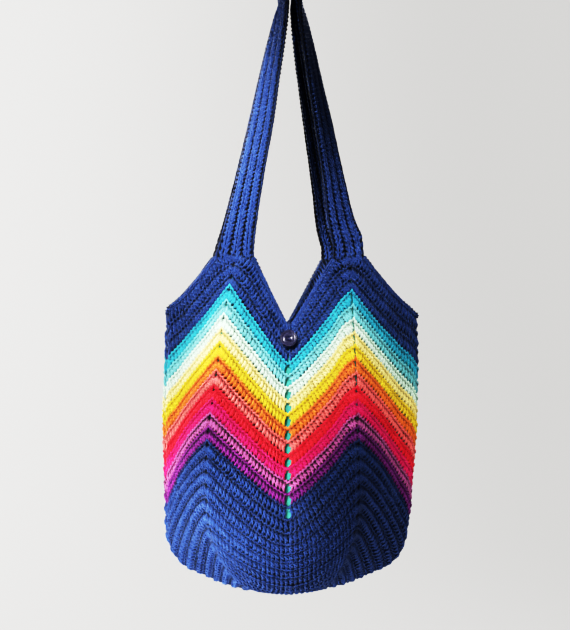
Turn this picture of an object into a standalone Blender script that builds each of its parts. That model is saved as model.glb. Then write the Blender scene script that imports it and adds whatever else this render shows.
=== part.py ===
"""Crochet tote bag, hanging by its two handles.

Frame: metres, +Z up, the front faces -Y and +X is to the right seen from the front.
The origin is the point inside the tops of the handles where a hook carries them.

The body is worked in rounds from a short chain in the middle of the base. Each round
has four increase corners, which climb to the four peaks, and, higher up, four
decreases: middle of the front, middle of the back and the two sides. So every round
is a zigzag, and each coloured round is a length of yarn of its own.

The surface is a map of (u, r): u runs round the bag, 0 to 8, and r counts rounds from
the rim (0) down to the foundation chain (27).
    u = 0 front valley   1 front right ridge   2 right side   3 back right ridge
        4 back valley    5 back left ridge     6 left side    7 front left ridge
"""

import math

import bmesh
import bpy
import numpy as np
from mathutils import Matrix, Vector

# ------------------------------------------------------------------ dimensions
MM = 0.001
FABRIC = 4.5          # thickness of the crocheted fabric
GAP = 0.3             # clearance between neighbouring pieces
LINING = 0.9          # lining cloth
LINING_OFFSET = 5.2   # middle of the fabric to the middle of the lining
EYELET_ROUNDS = 0.2   # half height of an eyelet, in rounds
EYELET_T = 0.03       # half width of an eyelet, as a share of a facet
CORNER_T = 0.17       # share of a facet under half a handle
HANDLE_WIDTH = 44.0
HANDLE_THICK = 5.0
HOOK_RADIUS = 7.0     # what the handles hang on
BUTTON_DIAMETER = 24.5
BUTTON_X, BUTTON_Z = -6.4, -494.4
LOOP_DIAMETER = 2.2
BUTTON_STANDOFF = 2.6  # room for the loop behind the button

# Key lines of the body: (round, x, y, z) in mm. The back is the front mirrored in Y.
RIDGE_LEFT = (
    (0, -80, -57, -372.5), (3, -89.5, -62, -422), (5, -97.5, -66.5, -461),
    (8, -105.5, -73, -518), (11, -114, -79.5, -576), (14, -121, -86, -632),
    (17, -122.5, -90, -687.5), (19, -120.5, -91, -727), (21, -112, -86, -767.5),
    (22.5, -100, -76, -795.5), (24, -83, -58, -823.5), (25.5, -61, -32, -844.5),
    (27, -34, 0, -858.5),
)
RIDGE_RIGHT = (
    (0, 79, -57, -374), (3, 79.5, -62, -429.5), (5, 81.5, -66.5, -468.5),
    (8, 83.5, -73, -523), (11, 85, -79.5, -580.5), (14, 86, -86, -634.5),
    (17, 86, -90, -692), (19, 84.5, -91, -732), (21, 77, -86, -772.5),
    (22.5, 68, -76, -799.5), (24, 58, -58, -826), (25.5, 46, -32, -846.5),
    (27, 30, 0, -859),
)
VALLEY_MID = (
    (0, -4, -23, -485), (3, -6.5, -40, -529), (5, -7, -44.5, -557),
    (8, -8, -52, -612.5), (11, -8.5, -58.5, -668.5), (14, -9, -65, -721),
    (17, -9, -71, -772.5), (19, -9, -73, -798), (21, -8.5, -70, -823),
    (22.5, -7.5, -60, -841.5), (24, -6, -40, -851), (25.5, -4, -20, -856),
    (27, -2, 0, -859.5),
)
SIDE_LEFT = (
    (0, -177.5, 0, -461), (3, -178, 0, -526), (5, -178, 0, -561.5),
    (8, -178.5, 0, -618.5), (11, -176, 0, -680), (14, -174, 0, -737),
    (17, -168.5, 0, -792.5), (19, -148, 0, -819), (21, -123.5, 0, -832),
    (22.5, -106.5, 0, -840.5), (24, -88, 0, -847.5), (25.5, -66, 0, -853.5),
    (27, -36, 0, -858.5),
)
SIDE_RIGHT = (
    (0, 185, 0, -466), (3, 187, 0, -530.5), (5, 186, 0, -570.5),
    (8, 184, 0, -632.5), (11, 178.5, 0, -692), (14, 173.5, 0, -753),
    (17, 158.5, 0, -805), (19, 135.5, 0, -826), (21, 109, 0, -838),
    (22.5, 89.5, 0, -846), (24, 70, 0, -851.5), (25.5, 50, 0, -856),
    (27, 30, 0, -859),
)
# Foot of each handle leg on the rim: outer and inner corner.
FOOT_LEFT = ((-106.8, -52, -380), (-57.7, -60, -381))
FOOT_RIGHT = ((97.2, -52, -380), (54.7, -60, -383))

# Legs of a handle, bottom to top: (x, y, z, turn in degrees).
LEG_LEFT = (
    (-77.8, -56.5, -357, 16), (-75.2, -56, -344, 24), (-60.9, -49, -275, 42),
    (-42.9, -41, -191, 51), (-32, -35, -131.5, 59), (-21.4, -29, -77.5, 66),
    (-13.6, -25, -38, 76), (-9.7, -24.2, -18, 86),
)
LEG_RIGHT = (
    (74.6, -56.5, -358, 16), (69.7, -56, -344, 24), (56.3, -49, -275, 42),
    (41.6, -41, -191, 51), (30.6, -35, -131.5, 59), (20.9, -29, -77.5, 66),
    (13.7, -25, -38, 76), (9.7, -24.2, -18, 86),
)

ROUNDS = (  # node, first and last round, colour
    ("rim_rounds", 0, 3, (0.024, 0.047, 0.31)),
    ("round_turquoise", 3, 4, (0.03, 0.52, 0.62)),
    ("round_mint", 4, 5, (0.33, 0.72, 0.6)),
    ("round_cream", 5, 6, (0.86, 0.86, 0.78)),
    ("round_pale_yellow", 6, 7, (0.87, 0.74, 0.27)),
    ("round_yellow", 7, 8, (0.8, 0.6, 0.02)),
    ("round_orange", 8, 9, (0.85, 0.2, 0.03)),
    ("round_salmon", 9, 10, (0.85, 0.26, 0.25)),
    ("round_red", 10, 11, (0.74, 0.01, 0.02)),
    ("round_magenta", 11, 12, (0.74, 0.03, 0.3)),
    ("round_lilac", 12, 13, (0.6, 0.27, 0.62)),
    ("round_purple", 13, 14, (0.3, 0.01, 0.3)),
    ("base_rounds", 14, 26.6, (0.024, 0.047, 0.31)),
)


# ------------------------------------------------------------------ the surface
def curve_through(table):
    """A smooth curve through rows of (parameter, value, ...), with sampled slopes."""
    data = np.array(table, dtype=float)
    xs, ys = data[:, 0], data[:, 1:]
    slopes = np.gradient(ys, xs, axis=0)

    def at(x):
        x = np.asarray(x, dtype=float)
        k = np.clip(np.searchsorted(xs, x, side="right") - 1, 0, len(xs) - 2)
        h = xs[k + 1] - xs[k]
        s = ((x - xs[k]) / h)[..., None]
        h = h[..., None]
        return (
            (2 * s**3 - 3 * s**2 + 1) * ys[k]
            + (s**3 - 2 * s**2 + s) * h * slopes[k]
            + (3 * s**2 - 2 * s**3) * ys[k + 1]
            + (s**3 - s**2) * h * slopes[k + 1]
        )

    return at


LINES = {
    "ridge": (curve_through(RIDGE_LEFT), curve_through(RIDGE_RIGHT)),
    "side": (curve_through(SIDE_LEFT), curve_through(SIDE_RIGHT)),
    "mid": (curve_through(VALLEY_MID), curve_through(VALLEY_MID)),
}


def smooth_step(x):
    x = np.clip(x, 0.0, 1.0)
    return x * x * (3 - 2 * x)


def surface(u, r):
    """Points of the middle of the fabric, in mm, for arrays u and r."""
    u, r = np.broadcast_arrays(np.mod(np.asarray(u, float), 8.0), np.asarray(r, float))
    back = (u > 2) & (u < 6)
    m = np.where(back, np.where(u <= 4, 4 - u, 12 - u), u)
    right = m <= 2
    h = np.where(right, m, 8 - m)       # 0 mid valley, 1 ridge, 2 side
    side = h > 1
    t = np.where(side, h - 1, 1 - h)    # 0 at the ridge, 1 at the valley
    pick = lambda name: np.where(right[..., None], LINES[name][1](r), LINES[name][0](r))
    ridge = pick("ridge")
    valley = np.where(side[..., None], pick("side"), pick("mid"))

    # low rounds sag into a bow, high ones run straight into the valley
    low = smooth_step((r - 14) / 5)
    bow = 1 - (1 - t) ** (1 + 0.7 * low)
    ease = t + (smooth_step(t) - t) * low
    share = np.stack(
        [np.where(side, ease, t), np.where(side, t, bow), np.where(side, ease, bow)], -1
    )
    p = ridge + (valley - ridge) * share

    # near the rim the rounds turn up into the handles
    lift = np.clip(1 - r / 3, 0, 1) ** 1.3
    zero = np.zeros_like(r)
    foot = np.where(
        right[..., None],
        np.where(side[..., None], FOOT_RIGHT[0], FOOT_RIGHT[1]),
        np.where(side[..., None], FOOT_LEFT[0], FOOT_LEFT[1]),
    )
    ridge0 = np.where(right[..., None], LINES["ridge"][1](zero), LINES["ridge"][0](zero))
    valley0 = np.where(
        side[..., None],
        np.where(right[..., None], LINES["side"][1](zero), LINES["side"][0](zero)),
        LINES["mid"][0](zero),
    )
    plain0 = ridge0 + (valley0 - ridge0) * CORNER_T
    corner = ridge + (valley - ridge) * CORNER_T + lift[..., None] * (foot - plain0)
    near = (t < CORNER_T)[..., None]
    ta = (t / CORNER_T)[..., None]
    tb = np.clip((t - CORNER_T) / (1 - CORNER_T), 0, 1)[..., None]
    top = np.where(near, ridge + (corner - ridge) * ta, corner + (valley - corner) * tb)
    sag = np.where(side, 5.0, 1.5) * lift * 4 * tb[..., 0] * (1 - tb[..., 0])
    top = top - np.stack([zero, zero, np.where(t < CORNER_T, 0, sag)], -1)
    p = np.where((r < 3)[..., None], top, p)

    # fullness of the cloth
    sign = np.where(right, 1.0, -1.0)
    hump = 4 * t * (1 - t)
    full = np.interp(r, (3, 8, 14, 17, 20, 24, 27), (0, 3, 8, 11, 9, 4, 0)) * hump
    puff = np.interp(r, (0, 2, 6, 12, 16, 18), (2, 5, 6, 4, 2, 0)) * np.exp(
        -(((t - 0.85) / 0.09) ** 2)
    )
    puff = puff * np.where(right, 0.6, 1.0)
    belly = np.interp(r, (0, 3, 10, 17, 22, 27), (0, 0, 3, 5, 4, 0)) * hump
    belly = belly + 4.5 * np.clip(1 - r / 4, 0, 1) * np.exp(-(((1 - t) / 0.1) ** 2))
    flat = 1 - t * smooth_step((r - 19) / 3)    # the base itself has no bulge at its ends
    dx = np.where(side, sign * (0.8 * full * flat + puff), 0)
    dy = np.where(side, 0, -belly)
    dz = np.where(side, 0.6 * full, 0)
    p = p + np.stack([dx, dy, dz], -1)
    p[..., 1] = np.where(back, -p[..., 1], p[..., 1])
    return p


def outward(u, r, start=23.5, span=2.5):
    """Unit normals of the surface, pointing out of the bag; straight down in the base."""
    r = np.minimum(np.asarray(r, float), 26.9)
    du = surface(np.asarray(u) + 0.04, r) - surface(np.asarray(u) - 0.04, r)
    dr = surface(u, np.minimum(r + 0.08, 27)) - surface(u, np.maximum(r - 0.08, 0))
    n = np.cross(dr, du)
    n /= np.maximum(np.linalg.norm(n, axis=-1, keepdims=True), 1e-9)
    down = smooth_step((r - start) / span)[..., None] * np.ones_like(n)
    n = n * (1 - down) + np.array([0.0, 0.0, -1.0]) * down
    return n / np.linalg.norm(n, axis=-1, keepdims=True)


# ------------------------------------------------------------------ mesh helpers
def material(name, color, roughness=0.85, metallic=0.0, alpha=None):
    mat = bpy.data.materials.new(name)
    mat.use_nodes = True
    shader = mat.node_tree.nodes["Principled BSDF"]
    shader.inputs["Base Color"].default_value = (*color, 1.0)
    shader.inputs["Roughness"].default_value = roughness
    shader.inputs["Metallic"].default_value = metallic
    mat.diffuse_color = (*color, 1.0)
    return mat


def make_object(name, verts_mm, faces, mat):
    mesh = bpy.data.meshes.new(name)
    flat = []  # every quad is split from its first corner, so layers match
    for f in faces:
        flat += [(f[0], f[1], f[2]), (f[0], f[2], f[3])] if len(f) == 4 else [f]
    mesh.from_pydata([Vector(v) * MM for v in verts_mm], [], flat)
    mesh.update()
    ob = bpy.data.objects.new(name, mesh)
    bpy.context.collection.objects.link(ob)
    mesh.materials.append(mat)
    return ob


def tidy(ob):
    """Joins doubled points, makes the faces point out."""
    bm = bmesh.new()
    bm.from_mesh(ob.data)
    bmesh.ops.remove_doubles(bm, verts=bm.verts, dist=1e-7)
    bmesh.ops.recalc_face_normals(bm, faces=bm.faces)
    bm.to_mesh(ob.data)
    bm.free()


def columns(steps):
    """u values round the bag, with the given shares of each facet from its ridge."""
    out = []
    for facet in range(8):
        ridge_first = facet % 2 == 1
        for s in steps if ridge_first else [1 - s for s in reversed(steps)]:
            out.append(facet + s)
        if not ridge_first and 0 not in steps:
            out.append(facet)
    return sorted({round(v % 8, 6) for v in out} | {float(k) for k in range(8)})


FINE = columns((0.0, CORNER_T, 0.42, 0.7, 0.85, 1 - EYELET_T))
COARSE = columns((0.0, CORNER_T, 0.42, 0.7))


def skin(us, rs, out, inn, notch=(), turn=(23.5, 2.5)):
    """Vertices and faces of a wall round the bag between the rounds rs[0] and rs[-1]."""
    n, k = len(us), len(rs)
    u = np.repeat(np.array(us), k)
    r = np.tile(np.array(rs, dtype=float), n)
    if notch:
        for i, uu in enumerate(us):
            if uu in (0.0, 2.0, 4.0, 6.0):
                if "top" in notch:
                    r[i * k] += EYELET_ROUNDS
                if "bottom" in notch:
                    r[i * k + k - 1] -= EYELET_ROUNDS
    p, nrm = surface(u, r), outward(u, r, *turn)
    verts = [tuple(v) for v in p + nrm * out] + [tuple(v) for v in p - nrm * inn]
    o = lambda i, j: (i % n) * k + j
    q = lambda i, j: n * k + (i % n) * k + j
    faces = []
    for i in range(n):
        for j in range(k - 1):
            faces.append((o(i, j), o(i, j + 1), o(i + 1, j + 1), o(i + 1, j)))
            faces.append((q(i, j), q(i + 1, j), q(i + 1, j + 1), q(i, j + 1)))
        faces.append((o(i, 0), o(i + 1, 0), q(i + 1, 0), q(i, 0)))
    return verts, faces, o, q


def band(name, us, r0, r1, mat, rs=None, notch=()):
    """A closed ring of fabric."""
    rs = rs or (r0, r1)
    half = FABRIC / 2
    verts, faces, o, q = skin(us, rs, half, half, notch)
    k = len(rs) - 1
    for i in range(len(us)):
        faces.append((o(i, k), q(i, k), q(i + 1, k), o(i + 1, k)))
    return make_object(name, verts, faces, mat)


def bag(name, us, rs, out, inn, mat, notch=(), turn=(23.5, 2.5)):
    """A wall that is closed under the bag, front to back."""
    verts, faces, o, q = skin(us, rs, out, inn, notch, turn)
    n, k = len(us), len(rs) - 1
    left, right = us.index(6.0), us.index(2.0)
    front = [(left + i) % n for i in range((right - left) % n + 1)]
    rear = [(left - i) % n for i in range((left - right) % n + 1)]
    for a in range(len(front) - 1):
        f0, f1, b0, b1 = front[a], front[a + 1], rear[a], rear[a + 1]
        for idx, order in ((o, (f0, b0, b1, f1)), (q, (f0, f1, b1, b0))):
            face = [idx(v, k) for v in order]
            faces.append(tuple(v for i, v in enumerate(face) if v != face[i - 1]))
    return make_object(name, verts, faces, mat)


def cutter(name, centres):
    """Eyelet cutters: diamond prisms through the fabric at (u, r)."""
    verts, faces = [], []
    for u, r in centres:
        ring = (
            (u - 0.8 * EYELET_T, r), (u, r + EYELET_ROUNDS), (u + 0.8 * EYELET_T, r),
            (u, r - EYELET_ROUNDS),
        )
        uu = np.array([c[0] for c in ring])
        rr = np.array([c[1] for c in ring])
        p = surface(uu, rr)
        n = outward(np.array([u]), np.array([r]))[0]
        mid = p.mean(axis=0)
        flat = p - np.outer((p - mid) @ n, n)
        base = len(verts)
        verts += [tuple(v) for v in flat + n * 9] + [tuple(v) for v in flat - n * 9]
        faces.append(tuple(base + i for i in range(4)))
        faces.append(tuple(base + 7 - i for i in range(4)))
        for i in range(4):
            j = (i + 1) % 4
            faces.append((base + i, base + 4 + i, base + 4 + j, base + j))
    ob = make_object(name, verts, faces, NAVY)
    tidy(ob)
    ob.hide_render = True
    ob.display_type = "WIRE"
    return ob


def cut(ob, tool):
    mod = ob.modifiers.new("eyelets", "BOOLEAN")
    mod.operation = "DIFFERENCE"
    mod.solver = "EXACT"
    mod.object = tool


# ------------------------------------------------------------------ start
for ob in list(bpy.data.objects):
    bpy.data.objects.remove(ob, do_unlink=True)

NAVY = material("navy yarn", ROUNDS[0][3])
NAVY_BASE = material("navy yarn base", ROUNDS[-1][3])
edge = GAP / 2 / 17.0  # half a clearance, in rounds

# ------------------------------------------------------------------ crocheted body
for name, first, last, color in ROUNDS:
    mat = material(name, color)
    if name == "rim_rounds":
        rim = band(name, FINE, 0, 3, mat, rs=(0, 1, 2, 3 - edge), notch=("bottom",))
        cut(rim, cutter("rim_eyelets", [(u, r) for u in (0, 2, 4, 6) for r in (1, 2)]))
    elif name == "base_rounds":
        rs = (14 + edge, 15.5, 17, 18.5, 20, 21, 22, 23, 24, 25, 25.9, 26.6)
        base = bag(name, FINE, rs, FABRIC / 2, FABRIC / 2, mat, notch=("top",))
        cut(base, cutter("base_eyelets", [(u, r) for u in (0, 4) for r in (15, 16, 17)]))
    else:
        band(name, FINE, first + edge, last - edge, mat, notch=("top", "bottom"))

# ------------------------------------------------------------------ lining
lining_rs = (1.9, 3, 5, 8, 11, 14, 15.5, 17, 19, 21, 22.5, 24, 25.3)
bag(
    "lining", COARSE, lining_rs,
    -LINING_OFFSET + LINING / 2, LINING_OFFSET + LINING / 2,
    material("teal lining", (0.08, 0.5, 0.44), 0.8), turn=(21.5, 2.0),
)


# ------------------------------------------------------------------ handles
def handle_path(back):
    """Centres, width and outer directions along a handle, foot to foot over the hook."""
    sign = -1.0 if back else 1.0
    radius = HOOK_RADIUS + HANDLE_THICK / 2
    stops = [(x, y, z, a, 0) for x, y, z, a in LEG_LEFT]
    for i in range(0, 9):
        b = math.pi * (1 - i / 8)
        stops.append(
            (radius * math.cos(b), -24.0, -HOOK_RADIUS + radius * math.sin(b), 90, 1)
        )
    stops += [(x, y, z, a, 2) for x, y, z, a in reversed(LEG_RIGHT)]
    return sign, stops


def handle_sections(back, us_foot):
    """Cross sections of a handle. us_foot gives u at both feet for a share v."""
    sign, stops = handle_path(back)
    pos = np.array([s[:3] for s in stops])
    dist = np.concatenate([[0], np.cumsum(np.linalg.norm(np.diff(pos, axis=0), axis=1))])
    centre = curve_through([(d, *s[:3]) for d, s in zip(dist, stops)])
    # turn of the width towards the hook's axis, signed by leg, as a direction
    wide = []
    for x, y, z, a, part in stops:
        c = math.cos(math.radians(a))
        s = math.sin(math.radians(a))
        wide.append((c if part == 0 else -c if part == 2 else 0.0, -s, 0.0))
    width = curve_through([(d, *w) for d, w in zip(dist, wide)])
    marks = np.concatenate([
        np.linspace(0, dist[7], 11),
        dist[8:17],
        np.linspace(dist[17], dist[-1], 11),
    ])
    # (share of the half width, share of the half thickness): ribs and grooves
    rows = ((-1, 0.3), (-0.84, 1), (-0.55, 0.5), (0, 0.95), (0.55, 0.5), (0.84, 1), (1, 0.3))
    profile = list(rows) + [(v, -h) for v, h in reversed(rows)]
    sections = []

    def foot(leg):
        ring = []
        for v, h in profile:
            u = np.array([us_foot[leg](v)])
            zero = np.array([0.0])
            p = surface(u, zero)[0]
            up = p - surface(u, zero + 0.25)[0]
            up = up / np.linalg.norm(up)
            n = outward(u, zero)[0]
            ring.append(p + up * GAP * 1.3 + n * h * FABRIC / 2)
        return np.array(ring)

    for m in marks:
        c = centre(m)
        along = centre(min(m + 1, dist[-1])) - centre(max(m - 1, 0))
        along /= np.linalg.norm(along)
        w = width(m)
        w = w - along * (w @ along)
        w /= np.linalg.norm(w)
        n = np.cross(w, along)
        ring = [
            c + w * v * HANDLE_WIDTH / 2 + n * h * HANDLE_THICK / 2 for v, h in profile
        ]
        ring = np.array(ring)
        if back:
            ring[:, 1] *= -1
        sections.append(ring)
    return [foot(0)] + sections + [foot(1)]


def handle(name, back, mat):
    if back:
        feet = (lambda v: 5 - v * CORNER_T, lambda v: 3 + v * CORNER_T)
    else:
        feet = (lambda v: 7 + v * CORNER_T, lambda v: 1 - v * CORNER_T)
    sections = handle_sections(back, feet)
    k = len(sections[0])
    verts = [tuple(p) for s in sections for p in s]
    last = len(verts) - k
    faces = []
    for i in range(k // 2 - 1):  # the ends, in strips across the thickness
        j = k - 1 - i
        faces.append((i, i + 1, j - 1, j))
        faces.append((last + i, last + j, last + j - 1, last + i + 1))
    for a in range(len(sections) - 1):
        for i in range(k):
            j = (i + 1) % k
            faces.append((a * k + i, (a + 1) * k + i, (a + 1) * k + j, a * k + j))
    ob = make_object(name, verts, faces, mat)
    tidy(ob)
    return ob


handle("front_handle", False, material("navy yarn front handle", ROUNDS[0][3]))
handle("back_handle", True, material("navy yarn back handle", ROUNDS[0][3]))

# ------------------------------------------------------------------ button
# The button lies across the front valley and leans back with it.
LEAN = math.radians(18)
axis = np.array([0.0, -math.cos(LEAN), math.sin(LEAN)])
uu, rr = np.meshgrid(np.linspace(-0.2, 0.2, 81), np.linspace(0, 2, 81))
skin_front = (surface(uu, rr) + outward(uu, rr) * FABRIC / 2).reshape(-1, 3)
BUTTON_Y = -30.0                      # middle of the back face
for _ in range(4):
    d = skin_front - np.array([BUTTON_X, BUTTON_Y, BUTTON_Z])
    off = np.linalg.norm(d - np.outer(d @ axis, axis), axis=1)
    top = (d @ axis)[off < BUTTON_DIAMETER / 2 + 0.6].max()
    BUTTON_Y -= (BUTTON_STANDOFF + top) * math.cos(LEAN)


def turned(name, profile, mat, steps=24):
    """A solid turned about +Z from (radius, height) pairs, top to bottom, in mm."""
    bm = bmesh.new()
    rings = []
    for rad, height in profile:
        if rad == 0:
            rings.append([bm.verts.new((0, 0, height * MM))])
        else:
            rings.append([
                bm.verts.new((
                    rad * MM * math.cos(2 * math.pi * i / steps),
                    rad * MM * math.sin(2 * math.pi * i / steps),
                    height * MM,
                ))
                for i in range(steps)
            ])
    for a, b in zip(rings, rings[1:]):
        for i in range(steps):
            j = (i + 1) % steps
            if len(a) == 1:
                bm.faces.new((a[0], b[i], b[j]))
            elif len(b) == 1:
                bm.faces.new((a[j], a[i], b[0]))
            else:
                bm.faces.new((a[i], b[i], b[j], a[j]))
    bmesh.ops.recalc_face_normals(bm, faces=bm.faces)
    mesh = bpy.data.meshes.new(name)
    bm.to_mesh(mesh)
    bm.free()
    ob = bpy.data.objects.new(name, mesh)
    bpy.context.collection.objects.link(ob)
    mesh.materials.append(mat)
    return ob


HOLE_PITCH = 2.3
HOLE_RADIUS = 1.1
FACE = Matrix.Rotation(math.radians(90) - LEAN, 4, "X")  # turns +Z to the front, leaning
place = Matrix.Translation(Vector((BUTTON_X, BUTTON_Y, BUTTON_Z)) * MM) @ FACE

button = turned(
    "button",
    (
        (0, 2.0), (4.6, 2.0), (6.2, 2.5), (8.6, 2.3), (10.6, 3.4), (11.8, 3.1),
        (12.25, 2.1), (11.9, 0.9), (10.2, 0.2), (6.5, 0.0), (0, 0.0),
    ),
    material("dark translucent plastic", (0.03, 0.028, 0.06), 0.25),
)
button.matrix_world = place
holes = []
for sx in (-1, 1):
    for sy in (-1, 1):
        holes.append((sx * HOLE_PITCH, sy * HOLE_PITCH))
bm = bmesh.new()
for x, y in holes:
    bmesh.ops.create_cone(
        bm, cap_ends=True, segments=8, radius1=HOLE_RADIUS * MM, radius2=HOLE_RADIUS * MM,
        depth=8 * MM, matrix=Matrix.Translation((x * MM, y * MM, 1.0 * MM)),
    )
mesh = bpy.data.meshes.new("button_holes")
bm.to_mesh(mesh)
bm.free()
tool = bpy.data.objects.new("button_holes", mesh)
bpy.context.collection.objects.link(tool)
tool.matrix_world = place
tool.hide_render = True
tool.display_type = "WIRE"
cut(button, tool)


# ------------------------------------------------------------------ thread and loop
def tube(name, points, radius, mat, sides=8, fixed_side=None):
    """A closed tube along points (mm), square to its path."""
    pts = np.array(points, dtype=float)
    verts, faces = [], []
    ref = np.array([0.0, 0.0, 1.0])
    frame = None
    for i, c in enumerate(pts):
        along = pts[min(i + 1, len(pts) - 1)] - pts[max(i - 1, 0)]
        along /= np.linalg.norm(along)
        if frame is None:
            guess = ref if abs(along[2]) < 0.9 else np.array([1.0, 0.0, 0.0])
            frame = guess - along * (guess @ along)
        frame = frame - along * (frame @ along)
        frame /= np.linalg.norm(frame)
        other = np.cross(along, frame)
        rad = radius[i] if hasattr(radius, "__len__") else radius
        for s in range(sides):
            a = 2 * math.pi * s / sides
            verts.append(tuple(c + rad * (math.cos(a) * frame + math.sin(a) * other)))
    n = len(pts)
    for i in range(n - 1):
        for s in range(sides):
            t = (s + 1) % sides
            faces.append((i * sides + s, i * sides + t, (i + 1) * sides + t, (i + 1) * sides + s))
    faces.append(tuple(reversed(range(sides))))
    faces.append(tuple(range((n - 1) * sides, n * sides)))
    ob = make_object(name, verts, faces, mat)
    tidy(ob)
    return ob


THREAD = material("sewing thread", (0.02, 0.03, 0.12), 0.7)
SEAT = np.array([BUTTON_X, BUTTON_Y, BUTTON_Z])
UP = np.array([0.0, math.sin(LEAN), math.cos(LEAN)])


def on_button(x, y, h):
    """A point beside the button: across, up its face, and out along its axis."""
    return tuple(SEAT + np.array([x, 0.0, 0.0]) + UP * y + axis * h)


# how far behind the button the fabric lies, at the bottom of the valley
run = np.linspace(0, 2, 81)
crease = surface(np.zeros(81), run) + outward(np.zeros(81), run) * FABRIC / 2
rel = crease - SEAT
aside = np.linalg.norm((rel - np.outer(rel @ axis, axis))[:, 1:], axis=1)
DEPTH = float((rel @ axis)[aside.argmin()])
CREASE_X = float(crease[aside.argmin()][0]) - BUTTON_X

shank = tube(
    "button_thread",
    [on_button(CREASE_X, 0, DEPTH + 2.0), on_button(CREASE_X * 0.8, 0, DEPTH + 2.9),
     on_button(0, 0, -2.0), on_button(0, 0, -1.0), on_button(0, 0, -0.3)],
    (0.6, 1.4, 1.7, 2.4, 4.1), THREAD, sides=10,
)
for row, side in enumerate((-1, 1)):
    y, x = side * HOLE_PITCH, HOLE_PITCH
    bar = tube(
        "stitch_%d" % row,
        [on_button(-x, y, -0.8), on_button(-x, y, 2.7), on_button(-x + 0.35, y, 3.1),
         on_button(x - 0.35, y, 3.1), on_button(x, y, 2.7), on_button(x, y, -0.8)],
        0.6, THREAD, sides=6,
    )
    bar.hide_render = True
    bar.display_type = "WIRE"
    mod = shank.modifiers.new("stitch", "BOOLEAN")
    mod.operation = "UNION"
    mod.solver = "EXACT"
    mod.object = bar

# The loop starts inside the rim of the back valley, crosses over the front rim and passes
# round the shank behind the button: (half spread, y, z) and then beside the button.
RIM_X, RIM_Y, RIM_Z = (float(v) for v in surface(np.array([0.0]), np.array([0.0]))[0])
BACK = surface(np.array([4.0]), np.array([0.25]))[0]
by, bz = float(BACK[1]) - FABRIC / 2 - 0.5, float(BACK[2])
top = RIM_Z + 9.2
over = [
    (1.35, by, bz), (1.35, by - 2.2, bz + 0.6), (1.35, by - 7, bz + 4.0),
    (1.35, by - 14, top - 1.5), (1.35, by - 24, top), (1.35, RIM_Y + 14, top + 0.4),
    (1.35, RIM_Y + 5, top + 0.3), (1.35, RIM_Y, top), (1.35, RIM_Y - 4.2, top - 1.2),
]
under = [
    (1.8, 10.6, -2.0), (2.4, 7.5, -2.3), (3.0, 4.0, -2.6), (3.3, 0.5, -2.8),
    (3.1, -2.0, -2.8), (2.0, -3.4, -2.8),
]
left_half = [(RIM_X - a, y, z) for a, y, z in over]
left_half += [on_button(-a, y, h) for a, y, h in under]
right_half = [(RIM_X + a, y, z) for a, y, z in over]
right_half += [on_button(a, y, h) for a, y, h in under]
tube(
    "button_loop",
    left_half + [on_button(0, -4.0, -2.8)] + list(reversed(right_half)),
    LOOP_DIAMETER / 2, material("navy yarn loop", ROUNDS[0][3]), sides=8,
)

for ob in bpy.data.objects:
    if ob.type == "MESH" and ob.name in ("front_handle", "back_handle", "button"):
        ob.data.shade_smooth()
        ob.data.set_sharp_from_angle(angle=math.radians(40))
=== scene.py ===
"""Crochet tote bag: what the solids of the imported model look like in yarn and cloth.

Every round of the body is rebuilt stitch by stitch as tubes of yarn on the surface that
the solids were made from, the two handles as lengthwise ribs, and the lining, button,
thread and loop as pieces of their own.
"""

import math

import bmesh
import bpy
import numpy as np
from mathutils import Matrix, Vector


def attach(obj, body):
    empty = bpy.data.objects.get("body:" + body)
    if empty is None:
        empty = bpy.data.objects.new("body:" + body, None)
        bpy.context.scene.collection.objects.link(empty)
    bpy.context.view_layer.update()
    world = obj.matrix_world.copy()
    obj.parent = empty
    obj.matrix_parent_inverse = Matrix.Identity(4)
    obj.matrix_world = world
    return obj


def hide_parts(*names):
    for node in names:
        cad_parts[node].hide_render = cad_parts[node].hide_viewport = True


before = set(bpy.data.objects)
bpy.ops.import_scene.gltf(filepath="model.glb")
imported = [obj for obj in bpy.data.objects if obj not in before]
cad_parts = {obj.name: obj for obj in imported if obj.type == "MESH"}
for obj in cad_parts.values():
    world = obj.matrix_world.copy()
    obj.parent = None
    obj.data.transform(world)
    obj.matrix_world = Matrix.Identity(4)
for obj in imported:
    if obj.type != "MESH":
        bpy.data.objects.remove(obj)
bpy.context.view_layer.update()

MM = 0.001
PITCH = 6.2       # width of a stitch
YARN = 1.42       # radius of the yarn
HANDLE_WIDTH = 44.0
HOOK_RADIUS = 7.0
HANDLE_THICK = 5.0
CORNER_T = 0.17
GAP = 0.3
FABRIC = 4.5
rng = np.random.default_rng(11)

# Key lines of the body: (round, x, y, z) in mm. The back is the front mirrored in Y.
RIDGE_LEFT = (
    (0, -80, -57, -372.5), (3, -89.5, -62, -422), (5, -97.5, -66.5, -461),
    (8, -105.5, -73, -518), (11, -114, -79.5, -576), (14, -121, -86, -632),
    (17, -122.5, -90, -687.5), (19, -120.5, -91, -727), (21, -112, -86, -767.5),
    (22.5, -100, -76, -795.5), (24, -83, -58, -823.5), (25.5, -61, -32, -844.5),
    (27, -34, 0, -858.5),
)
RIDGE_RIGHT = (
    (0, 79, -57, -374), (3, 79.5, -62, -429.5), (5, 81.5, -66.5, -468.5),
    (8, 83.5, -73, -523), (11, 85, -79.5, -580.5), (14, 86, -86, -634.5),
    (17, 86, -90, -692), (19, 84.5, -91, -732), (21, 77, -86, -772.5),
    (22.5, 68, -76, -799.5), (24, 58, -58, -826), (25.5, 46, -32, -846.5),
    (27, 30, 0, -859),
)
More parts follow.
